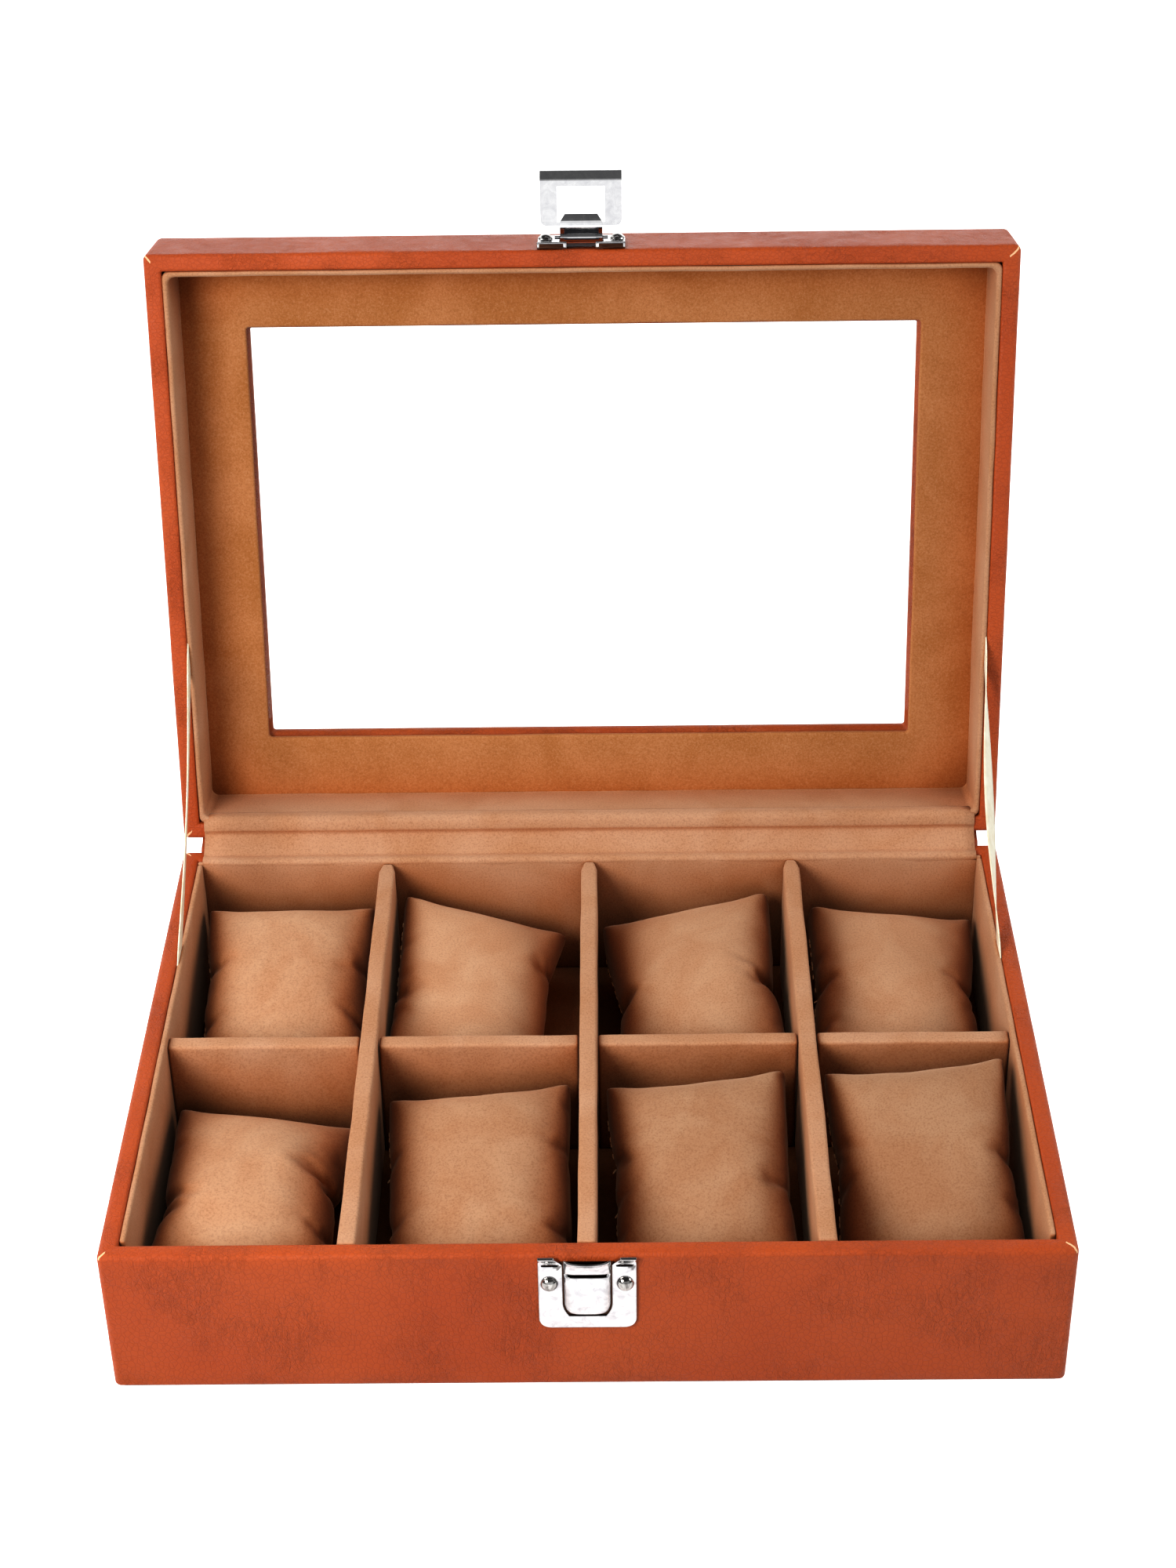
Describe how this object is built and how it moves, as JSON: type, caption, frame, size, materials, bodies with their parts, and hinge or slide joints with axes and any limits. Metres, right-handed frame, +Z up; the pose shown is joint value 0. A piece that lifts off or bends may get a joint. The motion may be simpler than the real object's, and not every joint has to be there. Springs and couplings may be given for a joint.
{
  "type": "watch box",
  "caption": "Rectangular leather covered watch box with a hinged glass topped lid, velvet lined compartments with loose cushions, and a chrome snap hasp.",
  "frame": {"origin": "centre of the underside of the base", "axes": "+X to the right along the width, +Y to the back where the lid is hinged, +Z up out of the base"},
  "size_m": [0.28, 0.2803, 0.2722],
  "materials": {
    "leather": "orange tan leather with a fine creased grain",
    "underside": "plain dark backing sheet",
    "velvet": "short tan velvet with a pink sheen",
    "cushion_suede": "brushed tan suede cloth over soft filling",
    "board": "fibre board",
    "glass": "clear",
    "chrome": "polished",
    "ribbon": "cream satin ribbon"
  },
  "bodies": {
    "base": {"base_underside": "underside", "base_floor_board": "board", "base_front_board": "board", "base_back_board": "board", "base_left_board": "board", "base_right_board": "board", "base_skin": "leather", "base_floor_liner": "velvet", "base_front_liner": "velvet", "base_back_liner": "velvet", "base_left_liner": "velvet", "base_right_liner": "velvet", "divider_left": "velvet", "divider_middle": "velvet", "divider_right": "velvet", "divider_cross": "velvet", "catch_plate": "chrome", "catch_tongue": "chrome", "catch_nail_left": "chrome", "catch_nail_right": "chrome", "hinge_leather": "leather", "hinge_velvet": "velvet", "ribbon_left": "ribbon", "ribbon_right": "ribbon"},
    "lid": {"lid_front_board": "board", "lid_back_board": "board", "lid_left_board": "board", "lid_right_board": "board", "lid_top_front": "board", "lid_top_back": "board", "lid_top_left": "board", "lid_top_right": "board", "lid_skin": "leather", "window_glass": "glass", "lid_front_liner": "velvet", "lid_back_liner": "velvet", "lid_left_liner": "velvet", "lid_right_liner": "velvet", "lid_window_liner": "velvet", "hasp_plate": "chrome", "hasp_nail_left": "chrome", "hasp_nail_right": "chrome", "hasp_pin": "chrome", "hasp_spring": "chrome"},
    "hasp": {"hasp": "chrome"},
    "cushion_1": {"cushion_1": "cushion_suede"},
    "cushion_2": {"cushion_2": "cushion_suede"},
    "cushion_3": {"cushion_3": "cushion_suede"},
    "cushion_4": {"cushion_4": "cushion_suede"},
    "cushion_5": {"cushion_5": "cushion_suede"},
    "cushion_6": {"cushion_6": "cushion_suede"},
    "cushion_7": {"cushion_7": "cushion_suede"},
    "cushion_8": {"cushion_8": "cushion_suede"}
  },
  "joints": [
    {"name": "lid_hinge", "type": "hinge", "parent": "base", "child": "lid", "pos_m": [0, 0.1035, 0.0525], "axis": [-1, 0, 0], "range_deg": [-102, 0], "deforming": ["hinge_leather", "hinge_velvet", "ribbon_left", "ribbon_right"]},
    {"name": "hasp_hinge", "type": "hinge", "parent": "lid", "child": "hasp", "pos_m": [0, 0.15643, 0.25246], "axis": [-1, 0, 0], "range_deg": [-90, 0]},
    {"name": "cushion_1_lift", "type": "slide", "parent": "base", "child": "cushion_1", "axis": [0, 0, 1], "range_m": [0, 0.1]},
    {"name": "cushion_2_lift", "type": "slide", "parent": "base", "child": "cushion_2", "axis": [0, 0, 1], "range_m": [0, 0.1]},
    {"name": "cushion_3_lift", "type": "slide", "parent": "base", "child": "cushion_3", "axis": [0, 0, 1], "range_m": [0, 0.1]},
    {"name": "cushion_4_lift", "type": "slide", "parent": "base", "child": "cushion_4", "axis": [0, 0, 1], "range_m": [0, 0.1]},
    {"name": "cushion_5_lift", "type": "slide", "parent": "base", "child": "cushion_5", "axis": [0, 0, 1], "range_m": [0, 0.1]},
    {"name": "cushion_6_lift", "type": "slide", "parent": "base", "child": "cushion_6", "axis": [0, 0, 1], "range_m": [0, 0.1]},
    {"name": "cushion_7_lift", "type": "slide", "parent": "base", "child": "cushion_7", "axis": [0, 0, 1], "range_m": [0, 0.1]},
    {"name": "cushion_8_lift", "type": "slide", "parent": "base", "child": "cushion_8", "axis": [0, 0, 1], "range_m": [0, 0.1]}
  ]
}
